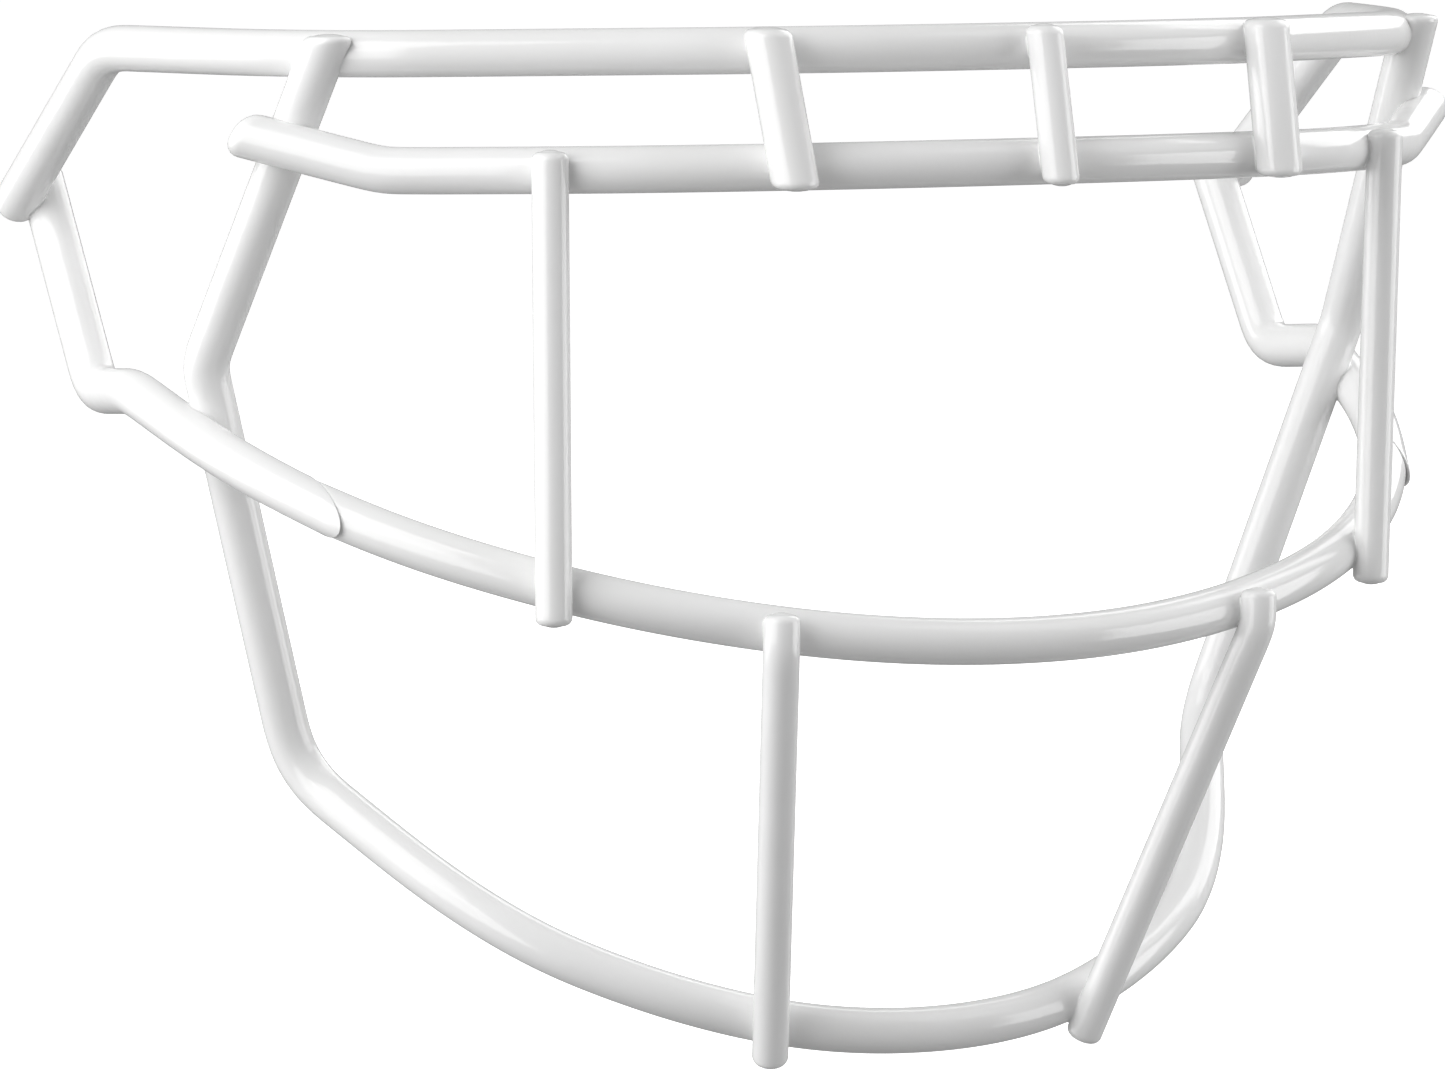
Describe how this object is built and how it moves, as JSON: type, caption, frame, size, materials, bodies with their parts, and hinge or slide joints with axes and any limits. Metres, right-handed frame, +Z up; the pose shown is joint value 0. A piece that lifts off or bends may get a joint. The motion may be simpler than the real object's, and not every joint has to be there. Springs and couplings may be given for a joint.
{
  "type": "american football helmet face guard",
  "caption": "Welded-wire face guard for an American football helmet: curved brow, mouth and jaw bars with side loops, white coated.",
  "frame": {"origin": "on the centre line of the top bar, at the middle of the face, where the helmet's brow clips hold the guard", "axes": "-Y out of the front of the guard, +Z up, X = 0 the plane of symmetry, and +X to the right as seen from the front; node names use left and right as seen from the front"},
  "size_m": [0.2146, 0.1285, 0.1498],
  "materials": {
    "wire_coating": "gloss",
    "weld_coating": "gloss"
  },
  "bodies": {
    "root": {"brow_bar": "wire_coating", "centre_brow_stub": "wire_coating", "jaw_wire": "wire_coating", "left_brow_stub": "wire_coating", "left_butt_weld": "weld_coating", "left_lower_vertical": "wire_coating", "left_side_loop": "wire_coating", "left_upper_vertical": "wire_coating", "mouth_bar": "wire_coating", "right_brow_stub": "wire_coating", "right_butt_weld": "weld_coating", "right_lower_vertical": "wire_coating", "right_side_loop": "wire_coating", "right_upper_vertical": "wire_coating", "top_bar": "wire_coating", "weld_centre_brow_stub_on_brow_bar": "weld_coating", "weld_centre_brow_stub_on_top_bar": "weld_coating", "weld_jaw_wire_on_left_side_loop": "weld_coating", "weld_jaw_wire_on_right_side_loop": "weld_coating", "weld_left_brow_stub_on_brow_bar": "weld_coating", "weld_left_brow_stub_on_top_bar": "weld_coating", "weld_left_jaw_wire_on_brow_bar": "weld_coating", "weld_left_jaw_wire_on_top_bar": "weld_coating", "weld_left_lower_vertical_on_jaw_wire": "weld_coating", "weld_left_lower_vertical_on_mouth_bar": "weld_coating", "weld_left_side_loop_on_top_bar": "weld_coating", "weld_left_upper_vertical_on_brow_bar": "weld_coating", "weld_left_upper_vertical_on_mouth_bar": "weld_coating", "weld_right_brow_stub_on_brow_bar": "weld_coating", "weld_right_brow_stub_on_top_bar": "weld_coating", "weld_right_jaw_wire_on_brow_bar": "weld_coating", "weld_right_jaw_wire_on_top_bar": "weld_coating", "weld_right_lower_vertical_on_jaw_wire": "weld_coating", "weld_right_lower_vertical_on_mouth_bar": "weld_coating", "weld_right_side_loop_on_top_bar": "weld_coating", "weld_right_upper_vertical_on_brow_bar": "weld_coating", "weld_right_upper_vertical_on_mouth_bar": "weld_coating"}
  },
  "joints": []
}
